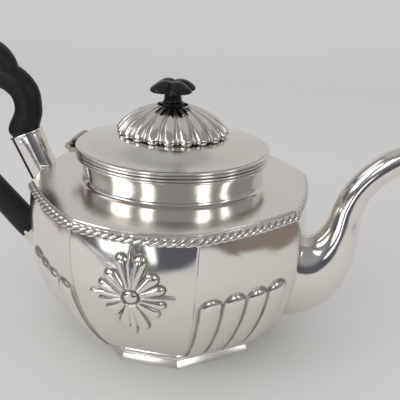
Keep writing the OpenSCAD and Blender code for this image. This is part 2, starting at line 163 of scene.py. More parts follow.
def finish_mesh(bm, name, sharp=0):
    """Make a smooth object of bm; edges of sharp degrees or more stay sharp, or none for 0."""
    bmesh.ops.recalc_face_normals(bm, faces=bm.faces)
    bm.normal_update()
    for f in bm.faces:
        f.smooth = True
    if sharp:
        for e in bm.edges:
            e.smooth = len(e.link_faces) == 2 and e.calc_face_angle(0) < radians(sharp)
    mesh = bpy.data.meshes.new(name)
    bm.to_mesh(mesh)
    bm.free()
    obj = bpy.data.objects.new(name, mesh)
    bpy.context.scene.collection.objects.link(obj)
    return obj

def sheet(bm, nx, ny, place):
    """Add a grid of nx by ny quads; place(u, v) gives a vertex's spot, or its spot and hollow."""
    hollow = bm.verts.layers.float.get("hollow") or bm.verts.layers.float.new("hollow")
    made = bmesh.ops.create_grid(bm, x_segments=nx, y_segments=ny, size=0.5)
    for v in made["verts"]:
        spot = place(v.co.x + 0.5, v.co.y + 0.5)
        v.co, v[hollow] = spot if isinstance(spot, tuple) else (spot, 0.0)

def weld(bm, dist=0.00001):
    bmesh.ops.remove_doubles(bm, verts=bm.verts, dist=dist)

def formed(name, nx, ny, place, sharp=0, capped=False):
    """An object from one sheet whose meeting edges are welded, and open ends capped."""
    bm = bmesh.new()
    sheet(bm, nx, ny, place)
    weld(bm)
    if capped:
        bmesh.ops.holes_fill(bm, edges=[e for e in bm.edges if e.is_boundary], sides=0)
    return finish_mesh(bm, name, sharp)

def add_wall(obj, thickness):
    """Give a sheet its thickness, inwards."""
    m = obj.modifiers.new("wall", "SOLIDIFY")
    m.thickness = thickness
    m.offset = -1
    m.use_even_offset = False

def spin(bm, profile, steps, closed):
    """Spin a profile of (radius, height) about Z."""
    verts = [bm.verts.new((r, 0, z)) for r, z in profile]
    nexts = verts[1:] + verts[:1] if closed else verts[1:]
    edges = [bm.edges.new(pair) for pair in zip(verts, nexts)]
    bmesh.ops.spin(bm, geom=verts + edges, cent=(0, 0, 0), axis=(0, 0, 1), angle=2*pi,
                   steps=steps, use_merge=True)

def turned(name, profile, stretch, sharp=32, hollow_at=None):
    """A ring from a closed profile, stretched along X; hollow_at takes a height in mm."""
    bm = bmesh.new()
    hollow = bm.verts.layers.float.new("hollow")
    spin(bm, profile, spin_steps, closed=True)
    weld(bm)
    bmesh.ops.scale(bm, vec=(stretch, 1, 1), verts=bm.verts)
    if hollow_at:
        for v in bm.verts:
            v[hollow] = hollow_at(v.co.z/mm)
    return finish_mesh(bm, name, sharp)

def arc(cx, cz, r, a0, a1, n=8):
    """Points on an arc of a profile, angles in degrees."""
    turns = [radians(a0 + (a1 - a0)*i/n) for i in range(n + 1)]
    return [(cx + r*cos(a), cz + r*sin(a)) for a in turns]

def spline(stations, u):
    """Smooth value at u (0 to 1) through a list of stations."""
    n = len(stations) - 1
    x = min(u*n, n - 1e-9)
    i = int(x)
    t = x - i
    p0, p1 = stations[max(0, i - 1)], stations[i]
    p2, p3 = stations[i + 1], stations[min(n, i + 2)]
    return [0.5*(2*b + (c - a)*t + (2*a - 5*b + 4*c - d)*t*t + (3*b - a - 3*c + d)*t**3)
            for a, b, c, d in zip(p0, p1, p2, p3)]

def swept_point(stations, u, angle):
    """A point on a tube whose stations are x, z, heading, half height, half width in mm."""
    x, z, head, h, w = spline(stations, u)
    s, y, a = h*cos(angle), w*sin(angle), radians(head)
    return Vector((x - s*sin(a), -y, z + s*cos(a)))*mm

def swept(name, stations, around, along, u0=0.0, capped=False):
    """A tube along its stations, from the share u0 of its length to the end."""
    return formed(name, around, along, lambda s, t: swept_point(
        stations, u0 + (1 - u0)*t, 2*pi*s), capped=capped)

def report(obj):
    print("%s: %d faces" % (obj.name, len(obj.data.polygons)))
    return obj

# %% [markdown]
# ## Chasing the rosettes and flutes
# The two broad panels carry a rosette of sixteen petals, raised from behind, and
# the four diagonal panels carry four fat flutes each. A bump map could fake
# them, but they stand out far enough to show in the outline and to bend the
# reflections, so both are real heights above the plain panel. Each also gives a
# hollow value, which is 1 along the chased line round a petal or flute.

# %% Heights of petals and flutes
rosette_x, rosette_z, petal_rise, boss_r = 1.5*mm, 68.2*mm, 2.3*mm, 3.8*mm
rosette_r, petal_root = 29*mm, 2.6*mm
point_from, round_from = 0.55, 0.76  # the share of a petal's length where its tip starts
off_petal = 9.0
# one quarter of the rosette: angle, length and half width in mm, pointed
quarter = [(0, 21.6, 2.3, True), (17.5, 17.8, 3.0, False), (45, 18.0, 4.0, False),
           (76.5, 23.4, 3.6, False), (90, 27.8, 2.7, True)]
petals = [(cos(radians(turn)), sin(radians(turn)), length*mm, w*mm, pointed)
          for a, length, w, pointed in quarter
          for turn in sorted({a, 180 - a, 180 + a, (360 - a) % 360})]
flute_top, flute_rise, flutes = 64.2*mm, 2.3*mm, 4
flute_start, flute_pitch = 0.030, 0.2145

def crown(d):
    """Cross-section of a raised ridge: 1 on its crest, 0 at its edge d = 1, with steep sides."""
    return (1 - d**2.4)**0.62 if d < 1 else 0.0

# this value later darkens the silver along the chased line: partly tarnish, partly painted shade in
# the groove
def outline(d, w):
    """1 on the chased line round a ridge of half width w, whose edge is at d = 1."""
    line_at, line_half = 0.94, 0.42*mm
    return clamp(1.6 - abs(d - line_at)*w/line_half)

def petal_edge(petal, x, z):
    """How far out x, z is on a petal: 0 on its spine, 1 at its outline."""
    ca, sa, length, w, pointed = petal
    along, across = x*ca + z*sa, abs(z*ca - x*sa)
    s = (along - petal_root)/(length - petal_root)
    if not 0 < s < 1.25 or across > 1.4*w:
        return off_petal
    if pointed:
        taper = 1 if s < point_from else 1 - (min(s, 0.999) - point_from)/(1 - point_from)
        wide = w*min(1, 0.40 + 1.1*s)*taper
        return across/max(wide, 0.1*mm) if s < 1 else off_petal
    if s < round_from:
        return across/(w*min(1, 0.40 + 0.79*s))
    return sqrt((across/w)**2 + ((s - round_from)/(1 - round_from))**2)

def rosette_relief(x, z):
    """Height and hollow of the rosette at x, z measured from its centre."""
    r = sqrt(x*x + z*z)
    if r > rosette_r:
        return 0.0, 0.0
    height, dark = 0.0, 0.0
    for petal in petals:
        d, w = petal_edge(petal, x, z), petal[3]
        if d < 1.4:
            # slender petals are lower
            height = max(height, crown(d)*(0.5 + 0.5*min(1, w/(2.7*mm))))
            dark = max(dark, outline(d, w))
    if height > 0.80:
        dark = 0.0  # a neighbour's line doesn't cross a crest
    d = r/boss_r
    if d < 1.25:
        dark = max(outline(d*0.98, boss_r), outline(d*0.78, boss_r*1.25))
        height = 0.35 + 0.9*crown(d*0.98) if d < 1 else 0.38
    return petal_rise*height, dark

def flute_relief(u, z, width):
    """Height and hollow of the flutes at u (0 to 1) across a diagonal panel that is width wide."""
    w = 0.5*flute_pitch*width
    i = min(flutes - 1, max(0, math.floor((u - flute_start)/flute_pitch)))
    d = abs(u - flute_start - (i + 0.5)*flute_pitch)/(0.5*flute_pitch)
    over = (z - flute_top)/w + 0.9
    if over > 0:
        d = sqrt(d*d + (over/0.9)**2)  # the round head
    end = clamp((z - body_z0)/(1.6*mm))
    full = 1 + 0.3*clamp(1 - abs(over)*w/(12*mm))  # fullest just below the head
    return crown(d)*flute_rise*full*sqrt(end), outline(d, w)

def lifted(k, u, z, height):
    """A point of the body's side k, lifted square to the surface."""
    p = body_side(k, u, z)
    if height <= 0:
        return p
    step_u, step_z = 0.002, 0.5*mm
    du = body_side(k, min(1, u + step_u), z) - body_side(k, max(0, u - step_u), z)
    dz = body_side(k, u, z + step_z) - body_side(k, u, z - step_z)
    return p + du.cross(dz).normalized()*height

print("%d petals, %d flutes on each diagonal panel" % (len(petals), flutes))

# %% [markdown]
# ## Raising the body
# The body is hammered up from one sheet and its corners are struck sharp. One
# lofted mesh could make it, but the panels are made one at a time here, so that
# each corner stays a crisp edge with its own reflections and the grid can be
# finest where the chasing is. They are slightly uneven, as hand-raised sheet is,
# and a modifier gives them the sheet's thickness.

# %% Body panels
def crowded(v, lo, hi, share):
    """Spread grid lines so that a share of them falls between lo and hi (all 0 to 1)."""
    low_part = (1 - share)*lo/(lo + 1 - hi)
    if v < low_part:
        return lo*v/low_part
    if v < low_part + share:
        return lo + (hi - lo)*(v - low_part)/share
    return hi + (1 - hi)*(v - low_part - share)/(1 - share - low_part)

uneven, swells_across, swells_up = 0.9*mm, 2.6, 3.4

def hand_work(k, u, v):
    """The slow unevenness of hand-raised sheet, which bends its reflections; none at the edges."""
    fade = min(1, 6*u*(1 - u))*min(1, 8*v*(1 - v))
    spot = Vector((swells_across*u + 7*k, swells_up*v, 0.4*k))  # each side k has its own noise
    return uneven*fade*noise.noise(spot)

def raise_panels(name, sides, nx, ny, relief, fine_u=None, fine_z=None):
    """Make the body's sides as sheets; fine_u and fine_z are (low, high, share of the grid)."""
    bm = bmesh.new()
    for k in sides:
        def place(u, v, k=k):
            u = crowded(u, *fine_u) if fine_u else u
            v = crowded(v, *fine_z) if fine_z else v
            z = body_z0 + (wall_top - body_z0)*v
            width = (body_side(k, 1, z) - body_side(k, 0, z)).length
            height, dark = relief(k, u, z, width)
            return lifted(k, u, z, height + hand_work(k, u, v)), dark
        sheet(bm, nx, ny, place)
    obj = finish_mesh(bm, name)
    mesh = obj.data
    outward = sum(f.normal.x*f.center.x + f.normal.y*f.center.y for f in mesh.polygons)
    if outward < 0:
        mesh.flip_normals()
    add_wall(obj, wall_t)
    return report(obj)

def broad_relief(k, u, z, width):
    return rosette_relief((u - 0.5)*width - rosette_x, z - rosette_z)

def diagonal_relief(k, u, z, width):
    # flutes are counted from the broad panel on each diagonal
    return flute_relief(u if k in (2, 6) else 1 - u, z, width)

def plain_relief(k, u, z, width):
    return 0.0, 0.0

fine = 1.0
close = dict(fine_u=(0.14, 0.88, 0.88), fine_z=(0.32, 0.97, 0.86))
broad = [raise_panels(name, (k,), int(150*fine), int(190*fine), broad_relief, **close)
         for name, k in (("body_front_panel", 1), ("body_back_panel", 5))]
diagonals = [raise_panels("body_fluted_panels_" + side, pair, int(120*fine), int(150*fine),
                          diagonal_relief)
             for side, pair in (("left", (0, 6)), ("right", (2, 4)))]
ends = [raise_panels("body_end_panels", (3, 7), 40, 110, plain_relief)]
for piece in broad + diagonals + ends:
    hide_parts("body_shell")
    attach(piece, "pot")

# %% [markdown]
# ## The foot
# A cast foot is a stack of octagons: a band that slopes out to the table, a small
# step, and a cove that climbs to the body. It could be eight mitred lengths of
# moulding. Here each level is an octagon of its own and neighbouring levels are
# bridged, which makes the mitres by itself, and then the edges get a small bevel.
# A flat plate, soldered in under the bowl, is the pot's bottom.

# %% Foot
def foot_level(bm, inset, z):
    """A loop of edges on the foot's plan, drawn in by inset."""
    corners = octagon(foot_len/2 - inset, foot_end - mitre*inset, foot_front - mitre*inset,
                      foot_wid/2 - inset)
    verts = [bm.verts.new((x, y, z)) for x, y in corners]
    return [bm.edges.new((verts[i], verts[(i + 1) % 8])) for i in range(8)]

# inset and height in mm, from inside the band round by the table to the cove and back
levels = [(2.4, 0), (0.1, 0), (0.1, 0.7), (2.1, 4.6), (2.7, 4.9), (2.8, 5.4), (3.3, 6.6),
          (4.2, 8.0), (5.4, 9.1), (6.2, 9.6), (7.6, 9.6), (7.6, 8.6), (4.6, 5.2), (2.6, 1.2)]
edge_round = 0.18*mm
bm = bmesh.new()
loops = [foot_level(bm, i*mm, z*mm) for i, z in levels]
for i in range(len(loops)):
    bmesh.ops.bridge_loops(bm, edges=loops[i] + loops[(i + 1) % len(loops)])
bmesh.ops.bevel(bm, geom=list(bm.edges), offset=edge_round, offset_type="OFFSET", segments=2,
                profile=0.5, affect="EDGES", clamp_overlap=True, material=-1)
foot = report(finish_mesh(bm, "foot_moulding", sharp=50))
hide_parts("foot_ring")
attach(foot, "pot")

bm = bmesh.new()
loops = [foot_level(bm, 7.0*mm, z*mm) for z in (7.9, 9.1)]
bmesh.ops.bridge_loops(bm, edges=loops[0] + loops[1])
for loop in loops:
    bmesh.ops.contextual_create(bm, geom=loop)
bottom = report(finish_mesh(bm, "bottom_plate", sharp=30))
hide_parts("base_plate")
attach(bottom, "pot")

# %% [markdown]
# ## The shoulder
# The shoulder is one flat polished plate, which mirrors the collar and the lid.
# Its outer edge follows the octagon and its middle is open for the collar. A
# boolean could cut the opening, but it leaves long thin faces that show in a
# mirror. Instead one cross-section, with a softened rim, is carried round the
# pot, so the faces run straight from the opening to the edge.

# %% Shoulder plate
lid_p, lid_q, joint_z, rim_h = 56*mm, 49*mm, 118*mm, 3.2*mm
stretch = lid_p/lid_q

def shoulder_edge(s, inset):
    k, t = int(s*8) % 8, s*8 - int(s*8)
    return plan_side(k, t, half_len0 - inset, half_end0 - mitre*inset,
                     half_front0 - mitre*inset, half_wid0 - inset)

def oval_point(p, r):
    """The point of the collar's oval in the direction of p, for a radius of r across the pot."""
    return p*(r/sqrt((p.x/stretch)**2 + p.y**2))

# the cross-section, from the hole's top round the edge and back below
plate = shoulder_t/mm
section = [("hole", 0, 0), ("rim", 0.8, 0), ("rim", 0.35, -0.12), ("rim", 0.1, -0.5),
           ("rim", 0.1, -plate), ("rim", 0.9, -plate), ("hole", 0, -plate), ("hole", 0, 0)]

def shoulder_point(s, t):
    kind, inset, z = section[round(t*(len(section) - 1))]
    p = shoulder_edge(s, inset*mm)
    if kind == "hole":
        p = oval_point(p, lid_q - 4.6*mm)
    return Vector((p.x, p.y, shoulder_z + z*mm))

shoulder = report(formed("shoulder_sheet", 256, len(section) - 1, shoulder_point, sharp=25))
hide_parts("shoulder_plate")
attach(shoulder, "pot")

# %% [markdown]
# ## The rope border
# The rope under the shoulder's edge is a half-round wire of slanted lobes, cast
# in strips and soldered on. Two twisted curves would make a rope too, with twice
# the faces and half of them hidden in the wall. Here one sheet is bent round the
# wire: its radius swells and falls as it goes along and around, so the lobes
# lean. The gaps between the lobes are hollow, and the two edges lie in the wall.

# %% Rope border
rope_r, rope_drop, rope_sunk = 2.75*mm, 4.2*mm, 0.5*mm
lobe_depth, lobe_lean, edge_share = 0.30, 0.85, 0.94
lobes_on_side = (13, 15, 13, 12, 13, 15, 13, 12)
lobes = sum(lobes_on_side)

def rope_place(s):
    """Side of the octagon and share of it at s (0 to 1), with the lobes evenly spaced."""
    n = s*lobes
    for k, count in enumerate(lobes_on_side):
        if n < count or k == 7:
            return k, n/count
        n -= count

def rope_point(s, t):
    """s goes round the pot, t goes round the wire from below to above."""
    a = radians(-100 + 200*t)
    wave = abs(sin(pi*(s*lobes - lobe_lean*sin(a))))
    # the gaps between lobes get a dark value: tarnish and painted shade
    r, dark = rope_r*(1 - lobe_depth + lobe_depth*wave**0.7), clamp(1.1 - wave/0.45)
    if not 0.12 < t < 0.91:
        r, dark = rope_r*edge_share, 0.0  # the plain edges in the wall
    k, u = rope_place(s)
    out = r*cos(a)
    side = mitre*out
    p = plan_side(k, u, half_len0 + out - rope_sunk, half_end0 + side, half_front0 + side,
                  half_wid0 + out - rope_sunk)
    return Vector((p.x, p.y, shoulder_z - rope_drop + r*sin(a))), dark

rope = formed("rope_moulding", lobes*(12), 24, rope_point)
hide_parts("rope_border")
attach(rope, "pot")
report(rope)

# %% [markdown]
# ## The collar and the rims
# These are turned on a lathe and then made oval. Blender's screw modifier could
# turn them, but the spin operator closes the ring on itself, and one scale after
# it makes the oval, a seventh longer than wide. Half of each cross-section is
# drawn as a closed profile. The two rims are reeded, which is where the fine dark
# lines around the lid come from: the valleys between the reeds are hollow, and
# their hollow value darkens them with tarnish and painted shade.

# %% Collar and rims
def in_mm(points):
    return [(r*mm, z*mm) for r, z in points]

# profiles are written in mm, from the shoulder sz, the joint jz and the lid's radius q
sz, jz, q, rim = shoulder_z/mm, joint_z/mm, lid_q/mm, rim_h/mm
lid_gap = 0.3
half_gap = lid_gap/2

def smooth_run(points, n=6):
    """Points of a smooth curve through the given ones, n to each span."""
    m = (len(points) - 1)*n
    return [tuple(spline(points, i/m)) for i in range(m + 1)]

collar_top = jz - rim - half_gap
collar_out = smooth_run([(q - 0.9, sz), (q - 1.9, sz + 0.35), (q - 2.8, sz + 1.0),
                         (q - 3.2, sz + 2.2), (q - 3.15, sz + 4), (q - 2.9, sz + 6.5),
                         (q - 2.6, sz + 9), (q - 2.3, sz + 11.5), (q - 2.2, collar_top)])
collar_in = smooth_run([(q - 4.6, collar_top), (q - 3.9, sz + 10), (q - 4.2, sz + 6.5),
                        (q - 4.5, sz + 3.3), (q - 4.7, sz + 1.5), (q - 4.5, sz)])
collar = report(turned("collar_wall", in_mm(collar_out + collar_in), stretch, sharp=60))
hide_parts("collar")
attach(collar, "pot")

def reeded_rim(name, inner, z):
    """A rim with two full reeds, from height z up."""
    reeds = [point for low in (0.25, 0.75) for point in arc(q - rim/4, z + rim*low, rim/4, -80, 80)]

    # the valleys get tarnish and painted shade from this value
    def valley(at):
        """1 in the valley between the reeds and under the lower one."""
        off_crest = abs((at - z)/(rim/2) % 1 - 0.5)*2
        return clamp((off_crest - 0.76)/0.15) if at < z + 0.9*rim else 0.0

    profile = [(inner, z), (q - rim/4, z)] + reeds + [(q - rim/4, z + rim), (inner, z + rim)]
    return turned(name, in_mm(profile), stretch, hollow_at=valley)

collar_rim = reeded_rim("collar_reeded_rim", q - 5.4, collar_top)
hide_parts("collar_rim")
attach(collar_rim, "pot")
lid_rim = reeded_rim("lid_reeded_rim", q - 2.6, jz + half_gap)
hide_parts("lid_rim")
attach(lid_rim, "lid")

# %% [markdown]
# ## The lid's plate and flange
# The lid is a low oval plate that rises to the dome, with a ring soldered under
# it that drops into the collar and keeps it centred. A subdivided disc could be
# pulled up to the same shape, but a turned profile keeps the plate's slow curve
# even all the way round, which a mirror shows. The plate has a small hole in its
# middle for the finial's stud.

# %% Lid plate and flange
plate_z = jz + lid_gap + rim
lid_rise, lid_t = 6.2, 1.2
dome_z = plate_z + lid_rise
dome_p, dome_q, dome_h = 32.6, 26.6, 17.8

lid_plate = turned("lid_sheet", in_mm(
    [(1.9, dome_z - lid_t), (1.9, dome_z), (dome_q - 1.5, dome_z), (dome_q + 1, dome_z - 0.35),
     (31, dome_z - 1.4), (35, plate_z + 3.35), (q - 10, plate_z + 2.1), (q - 6, plate_z + 0.95),
     (q - 2.9, plate_z + 0.3), (q - 1.5, plate_z + 0.02), (q - 1.9, plate_z - 0.13),
     (q - 4.4, plate_z - 0.13), (q - 10, plate_z + 0.9), (dome_q, dome_z - lid_t)]), stretch)
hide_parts("lid_plate")
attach(lid_plate, "lid")
flange = turned("lid_locating_flange", in_mm(
    [(q - 7.1, jz - 4), (q - 6.2, jz - 4), (q - 5.9, jz - 3.2), (q - 5.9, jz + half_gap),
     (q - 2.6, jz + half_gap), (q - 2.6, jz + 1.35), (q - 7.1, jz + 1.35)]), stretch)
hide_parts("lid_flange")
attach(flange, "lid")
for piece in (collar_rim, lid_rim, lid_plate, flange):
    report(piece)

# %% [markdown]
# ## The melon dome
# The dome is a hollow oval cap of wide lobes with a narrow one between each two,
# stamped in a die. One lobe could be made and repeated by an array, but the dome
# is oval, so no two lobes are alike. It starts as a grid whose lines run up the
# creases, and each vertex is pushed out by the roundness of the lobe that it lies
# on. The lobes end in round toes.

# %% Melon dome
lobe_count, narrow, crease = 20, 0.13, 0.10  # narrow is half a narrow lobe's share of the pitch
lobe_lines = 24
seat_drop = 1.1

def lobe_bulge(a):
    """Roundness and size of the lobe at angle a: 0 in a crease, 1 on a wide lobe's crest."""
    p = (a*lobe_count/(2*pi) + 0.5) % 1.0
    if abs(p - 0.5) < narrow:
        return 0.50*sqrt(1 - (abs(p - 0.5)/narrow)**2), 0.5
    d = min(p, 1 - p)/(0.5 - narrow)
    return sqrt(1 - min(1, d**2.2)), 1.0

def dome_point(s, t):
    """s goes round, t climbs from the toe of the lobes to the finial's seat."""
    a = 2*pi*s - pi/2
    bulge, size = lobe_bulge(a + pi/2)
    h = t**1.15*(dome_h - seat_drop)/dome_h
    r = max(0.25, (1 - h**1.75)**(1/1.75))
    k = r*(1 - crease*(1 - 0.3*t)*(1 - bulge))
    z = h*dome_h
    # the toe rounds in under the lobe, which is fullest just above it
    toe = clamp(1 - z/(3.2*size))
    k -= 0.05*(1 - sqrt(1 - toe*toe))
    k += 0.014*bulge*size*clamp(1 - abs(z - 2.8)/2.8)
    # the creases between lobes get a dark value: painted shade with some tarnish
    dark = clamp(1.25 - bulge/0.55)*(1 - 0.3*t)
    height = dome_z + z + 1.1*toe*(1 - bulge)
    return Vector((dome_p*k*cos(a), dome_q*k*sin(a), height))*mm, dark

dome = formed("melon_dome", lobe_count*lobe_lines, 72, dome_point)
add_wall(dome, lid_t*mm)
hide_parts("lid_dome")
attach(dome, "lid")
report(dome)

# %% [markdown]
# ## The finial
# A turned stem of blackened wood flares to a foot on the dome and carries a
# carved cap of four petals that droop at their tips. Four balls and a cylinder
# would need joining, and the joins would show. So it is spun as one bell, as a
# carver starts from a turned blank, and the cap is pushed in between the petals.

# %% Finial
finial_z = dome_z + dome_h - seat_drop
knob = smooth_run([(6.3, 0.0), (6.6, 0.6), (6.1, 1.3), (5.2, 2.2), (5.0, 3.4), (4.8, 4.8),
                   (4.7, 6.4), (4.8, 7.6), (5.4, 8.4), (8.0, 8.3), (11.2, 7.9), (13.0, 7.9),
                   (13.5, 8.6), (13.1, 9.8), (11.8, 11.1), (9.6, 12.5), (7.2, 13.5), (5.0, 13.7),
                   (3.0, 13.1), (1.4, 12.6), (0.02, 12.5)], 4)
cap_from, carve_from, carve, droop = 7.7, 2.5, 0.28, 1.9
bm = bmesh.new()
spin(bm, [(r*mm, (finial_z + z)*mm) for r, z in [(0.02, 0)] + knob], 160, closed=False)
weld(bm, 0.00003)
for v in bm.verts:
    r, a = sqrt(v.co.x**2 + v.co.y**2)/mm, math.atan2(v.co.y, v.co.x)
    h = v.co.z/mm - finial_z
    if h > cap_from and r > carve_from:
        # carve the valleys between the four petals
        valley = 1 - abs(cos(2*(a - pi/4)))**0.6
        far = clamp((r - carve_from)/5)
        v.co.x *= 1 - carve*far*valley
        v.co.y *= 1 - carve*far*valley
        v.co.z -= mm*droop*far*valley*clamp((h - 8.4)/3)
finial = finish_mesh(bm, "finial_knob")
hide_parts("finial")
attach(finial, "lid")
report(finial)

# %% [markdown]
# ## The spout
# The spout is two stampings soldered into one S-shaped tube: tall and narrow at
# its root, round at its mouth. A curve with a bevel can't change from oval to
# round along the way, so a grid is rolled up along the same stations that the
# solid model uses. The first few hundredths, inside the body, are left off.

# %% Spout
# stations: x, z, heading in degrees, half height, half width, in mm
spout_st = [[60, 47, 0, 29.5, 17], [75, 49.5, 8, 29, 15.8], [87.5, 53.5, 24, 22.5, 13.8],
            [95.3, 62.2, 42, 16.2, 11.8], [100.3, 77, 60, 11, 9.8], [103, 94.5, 68, 8.5, 8.2],
            [109, 108.3, 60, 7.7, 7.4], [121, 121, 38, 7.4, 6.9], [134, 128, 20, 6.8, 6.4],
            [146, 131, 12, 6.2, 6.0]]
spout = swept("spout_tube", spout_st, 64, 200, u0=0.07)
add_wall(spout, wall_t)
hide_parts("spout")
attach(spout, "pot")
report(spout)

# %% [markdown]
# ## The handle
# The handle is carved from blackened hardwood, oval in section, with a heel
# above its upper socket and a curled thumb rest. A subdivided box could be
# pulled into the loop, but a tube swept along stations keeps the grip's
# thickness under control all the way. The thumb rest is a second, shorter tube
# that grows out of the first.

# %% Handle
grip = 7.5
handle_st = [[-88.1, 110.4, 112, 7.8, grip - 1.4], [-91.2, 118, 110, 8.5, grip - 0.8],
             [-92.4, 123.3, 102, 10.2, grip], [-88.7, 134, 92, 8.3, grip - 0.4],
             [-91, 145.5, 115, 8.8, grip - 0.3], [-101.5, 153.2, 160, 8.5, grip],
             [-116, 152.2, 196, 8, grip + 0.4], [-131, 143, 228, 7.8, grip + 0.6],
             [-138.7, 128, 257, 7.8, grip + 0.6], [-138, 111.5, 280, 7.9, grip + 0.5],
             [-130.6, 96.4, 305, 8, grip + 0.2], [-119, 83, 312, 8.2, grip],
             [-105, 68, 313, 8.6, grip], [-94.4, 56.8, 313, 8.7, grip],
             [-89.2, 51.4, 314, 7.2, grip - 1.4]]
thumb_st = [[-99, 152, 100, 7, grip - 1], [-101.5, 161, 118, 6.5, grip - 0.5],
            [-107.5, 167, 150, 6.2, grip], [-115.5, 167.5, 192, 5.4, grip - 1],
            [-121, 164, 225, 3.2, grip - 3.5]]
handle = swept("handle_grip", handle_st, 40, 280, capped=True)
thumb = swept("thumb_rest", thumb_st, 40, 60, capped=True)
for piece in (handle, thumb):
    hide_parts("handle")
    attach(piece, "pot")
    report(piece)

# %% [markdown]
# ## The sockets
# The silver sockets hold the wood, with a pin through each. Each is a tube of
# eight soft facets that widens towards the wood, with a fine lip at its mouth.
# An eight-sided cylinder would have knife-sharp corners, so the facets come from
# a formula that is half octagon and half circle. The foot of the tube follows
# the body, so nothing shows inside.

# %% Sockets
eighth, oval, lap = pi/4, 0.8, 0.7

def socket(name, x, z, lean, r0, r1, height):
    """A tapered tube from x, z (mm), leaning back by an angle in degrees."""
    ca, sa = cos(radians(lean)), sin(radians(lean))

    def place(s, t):
        a, h = 2*pi*s, height*min(1, 1.03*t)
        flat_side = cos(eighth/2)/cos((a + eighth/2) % eighth - eighth/2)
        facet = 0.5*0.965 + 0.5*flat_side
        lip = 0.35*clamp(1 - abs(height - 0.6 - h)/0.6) - 0.5*clamp(1 - (1 - t)/0.03)
        r = (r0 + (r1 - r0)*h/height)*facet + lip
        u, y = r*cos(a), oval*r*sin(a)
        px, pz = x - h*sa + u*ca, z + h*ca + u*sa
        body = -half_len(pz*mm)/mm if pz < shoulder_z/mm else -half_len0/mm
        return Vector((min(px, body + lap), y, pz))*mm

    obj = report(formed(name, 160, 60, place, sharp=60, capped=True))
    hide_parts(name.replace("_tube", ""))
    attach(obj, "pot")
    return obj

sockets = [socket("upper_socket_tube", -77.6, 84.9, 22.4, 9.2, 11.0, 37.4),
           socket("lower_socket_tube", -72.0, 35.0, 43, 8.8, 10.8, 29.0)]

# %% [markdown]
# ## Finishes
# Silver is a plain metal shader whose interest is all in its surface: faint
# waves from the hammer, hair-fine polishing scratches, and a brown-grey colour
# in the hollows, which is partly tarnish where a cloth can't reach and partly
# painted shade in the creases. Painted maps could hold all three, but noise needs
# no unwrapping. The scratches and the tarnish with its painted shade are node
# groups, so that every silver piece can use them with its own strength. The
# brown-grey mask reads two things: how sharply the surface dips, and the hollow
# value that the chased lines, reeds and creases were given when they were made.

# %% Node groups
def feed(tree, node, feeds):
    """Set a node's inputs: each is a value, a colour of three, or another node's output."""
    for key, value in feeds.items():
        entry = node.inputs[key]
        if isinstance(value, bpy.types.NodeSocket):
            tree.links.new(value, entry)
        else:
            entry.default_value = (*value, 1) if entry.type == "RGBA" else value

def add(tree, kind, feeds=None, **settings):
    """Add a node with its settings and what feeds it."""
    node = tree.nodes.new(kind)
    for key, value in settings.items():
        setattr(node, key, value)
    feed(tree, node, feeds or {})
    return node

def maths(tree, operation, *values, **settings):
    node = add(tree, "ShaderNodeMath", dict(enumerate(values)), operation=operation, **settings)
    return node.outputs[0]

def remap(tree, value, start=(0.0, 1.0), end=(0.0, 1.0), **settings):
    """Carry a value from one range to another, and no further."""
    ranges = {"From Min": start[0], "From Max": start[1], "To Min": end[0], "To Max": end[1]}
    return add(tree, "ShaderNodeMapRange", {"Value": value, **ranges}, **settings).outputs["Result"]

def blend(tree, share, a, b):
    """Mix two colours."""
    return add(tree, "ShaderNodeMix", {0: share, 6: a, 7: b}, data_type="RGBA").outputs[2]

def place_of(tree):
    return add(tree, "ShaderNodeTexCoord").outputs["Object"]

def cloud(tree, where, scale, detail, **more):
    """Soft noise."""
    feeds = {"Vector": where, "Scale": scale, "Detail": detail, **more}
    return add(tree, "ShaderNodeTexNoise", feeds).outputs["Fac"]

def new_group(name, inputs, output):
    """A node group of plain numbers, with one output."""
    g = bpy.data.node_groups.new(name, "ShaderNodeTree")
    for label, value in inputs:
        s = g.interface.new_socket(label, in_out="INPUT", socket_type="NodeSocketFloat")
        s.default_value = value
    g.interface.new_socket(output, in_out="OUTPUT", socket_type="NodeSocketFloat")
    return g, g.nodes.new("NodeGroupInput").outputs, g.nodes.new("NodeGroupOutput")

def scratches_group():
    """Fine hair scratches: a height from long thin noise in two directions."""
    g, given, result = new_group("polishing_scratches", [("Scale", 300.0)], "Height")
    where = place_of(g)
    hairs = []
    for turn in ((0.3, 0.2, 0.5), (-0.6, 0.9, 2.0)):
        drawn = add(g, "ShaderNodeMapping",
                    {"Vector": where, "Rotation": turn, "Scale": (1, 22, 9)})
        hairs.append(cloud(g, drawn.outputs["Vector"], given["Scale"], 2.0))
    feed(g, result, {"Height": maths(g, "ADD", *hairs)})
    return g

def tarnish_and_shade_group():
    """Where tarnish and painted shade go: sharp dips and hollow places, broken up by soft noise."""
    g, given, result = new_group("tarnish_and_shade_in_hollows", [("Amount", 0.5), ("Reach", 0.03)], "Mask")
    patches = remap(g, cloud(g, place_of(g), 90.0, 4.0), (0.3, 0.7), (0.65, 1.0))
    deepest = maths(g, "SUBTRACT", 0.5, given["Reach"])
    dips = remap(g, add(g, "ShaderNodeNewGeometry").outputs["Pointiness"], (0.5, deepest))
    dips = maths(g, "MULTIPLY", maths(g, "MULTIPLY", dips, patches), given["Amount"],
                 use_clamp=True)
    hollow = add(g, "ShaderNodeAttribute", attribute_name="hollow").outputs["Fac"]
    tarnish_and_shade_mask = maths(g, "MAXIMUM", dips, maths(g, "MULTIPLY", hollow, patches))
    feed(g, result, {"Mask": tarnish_and_shade_mask})
    return g

scratches = scratches_group()
tarnish_and_shade = tarnish_and_shade_group()
print("node groups:", scratches.name, tarnish_and_shade.name)

